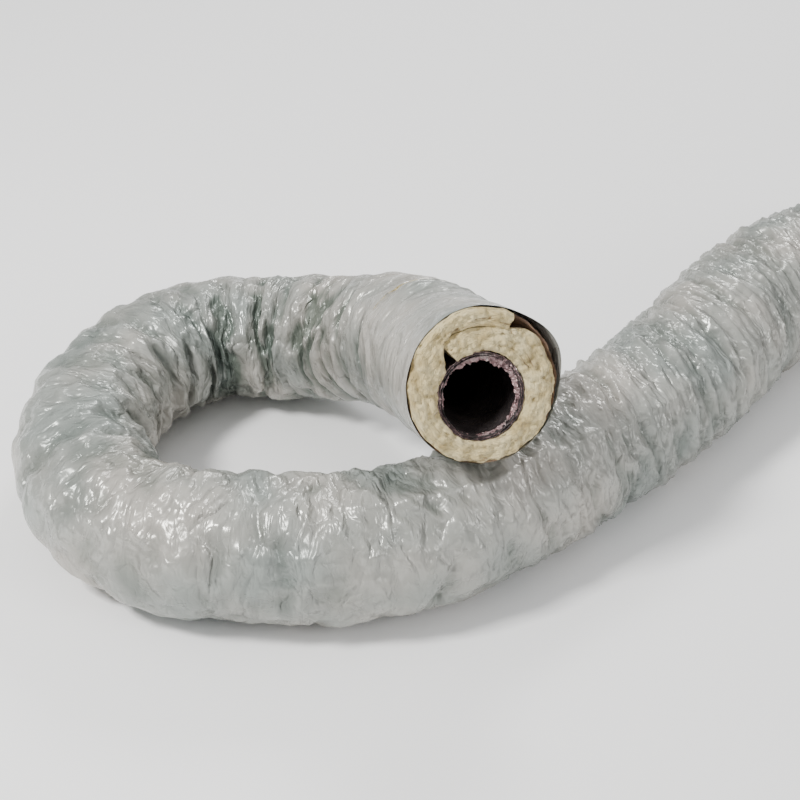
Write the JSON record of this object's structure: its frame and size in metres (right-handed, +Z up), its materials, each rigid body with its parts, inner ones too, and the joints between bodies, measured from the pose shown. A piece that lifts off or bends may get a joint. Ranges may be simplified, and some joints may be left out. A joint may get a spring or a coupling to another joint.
{
  "type": "flexible air duct",
  "caption": "Insulated flexible air duct lying in a loop, a wire-helix core in a glass-wool blanket and a thin grey plastic jacket.",
  "frame": {"origin": "on the floor, under the middle of the duct's box as it lies", "axes": "+Z up; the tail end points along +X and the open mouth faces -Y, slightly upwards and to +X"},
  "size_m": [1.4871, 0.7268, 0.3099],
  "materials": {
    "jacket_film": "thin semi-gloss grey polyethylene film, crumpled",
    "facing_film": "metallised film on the inside of the jacket, purple-brown",
    "glass_wool": "cream glass-wool blanket, fibrous",
    "core_film": "thin metallised polyester film, crinkled",
    "spring_wire": "bronzed spring-steel wire"
  },
  "bodies": {
    "mouth": {"jacket_mouth": "jacket_film", "facing_mouth": "facing_film", "wool_mouth": "glass_wool", "core_outer_film_mouth": "core_film", "wire_mouth": "spring_wire", "core_inner_film_mouth": "core_film"},
    "throat": {"jacket_swing_stretch": "jacket_film", "facing_swing_stretch": "facing_film", "wool_swing_stretch": "glass_wool", "core_outer_film_swing_stretch": "core_film", "wire_swing_stretch": "spring_wire", "core_inner_film_swing_stretch": "core_film", "jacket_throat": "jacket_film", "facing_throat": "facing_film", "wool_throat": "glass_wool", "core_outer_film_throat": "core_film", "wire_throat": "spring_wire", "core_inner_film_throat": "core_film"},
    "loop": {"jacket_lift_stretch": "jacket_film", "facing_lift_stretch": "facing_film", "wool_lift_stretch": "glass_wool", "core_outer_film_lift_stretch": "core_film", "wire_lift_stretch": "spring_wire", "core_inner_film_lift_stretch": "core_film", "jacket_loop": "jacket_film", "facing_loop": "facing_film", "wool_loop": "glass_wool", "core_outer_film_loop": "core_film", "wire_loop": "spring_wire", "core_inner_film_loop": "core_film", "jacket_bend_stretch": "jacket_film", "facing_bend_stretch": "facing_film", "wool_bend_stretch": "glass_wool", "core_outer_film_bend_stretch": "core_film", "wire_bend_stretch": "spring_wire", "core_inner_film_bend_stretch": "core_film"},
    "tail": {"jacket_tail": "jacket_film", "facing_tail": "facing_film", "wool_tail": "glass_wool", "core_outer_film_tail": "core_film", "wire_tail": "spring_wire", "core_inner_film_tail": "core_film", "jacket_bellows_stretch": "jacket_film", "facing_bellows_stretch": "facing_film", "wool_bellows_stretch": "glass_wool", "core_outer_film_bellows_stretch": "core_film", "wire_bellows_stretch": "spring_wire", "core_inner_film_bellows_stretch": "core_film"},
    "tail_end": {"jacket_tail_end": "jacket_film", "facing_tail_end": "facing_film", "wool_tail_end": "glass_wool", "core_outer_film_tail_end": "core_film", "wire_tail_end": "spring_wire", "core_inner_film_tail_end": "core_film"}
  },
  "joints": [
    {"name": "neck_lift", "type": "hinge", "parent": "loop", "child": "throat", "pos_m": [-0.3886, 0.0362, 0.101], "axis": [-0.6644, -0.7474, 0], "range_deg": [0, 25], "deforming": ["jacket_lift_stretch", "facing_lift_stretch", "wool_lift_stretch", "core_outer_film_lift_stretch", "wire_lift_stretch", "core_inner_film_lift_stretch"]},
    {"name": "mouth_swing", "type": "hinge", "parent": "throat", "child": "mouth", "pos_m": [-0.2961, -0.1574, 0.2], "axis": [-0.1044, 0.3506, 0.9307], "range_deg": [-25, 0], "deforming": ["jacket_swing_stretch", "facing_swing_stretch", "wool_swing_stretch", "core_outer_film_swing_stretch", "wire_swing_stretch", "core_inner_film_swing_stretch"]},
    {"name": "tail_swing", "type": "hinge", "parent": "loop", "child": "tail", "pos_m": [-0.1781, -0.1573, 0.073], "axis": [0, 0, 1], "range_deg": [-20, 25], "deforming": ["jacket_bend_stretch", "facing_bend_stretch", "wool_bend_stretch", "core_outer_film_bend_stretch", "wire_bend_stretch", "core_inner_film_bend_stretch"]},
    {"name": "tail_stretch", "type": "slide", "parent": "tail", "child": "tail_end", "axis": [0.8878, 0.4603, 0], "range_m": [-0.04, 0.015], "deforming": ["jacket_bellows_stretch", "facing_bellows_stretch", "wool_bellows_stretch", "core_outer_film_bellows_stretch", "wire_bellows_stretch", "core_inner_film_bellows_stretch"]}
  ]
}
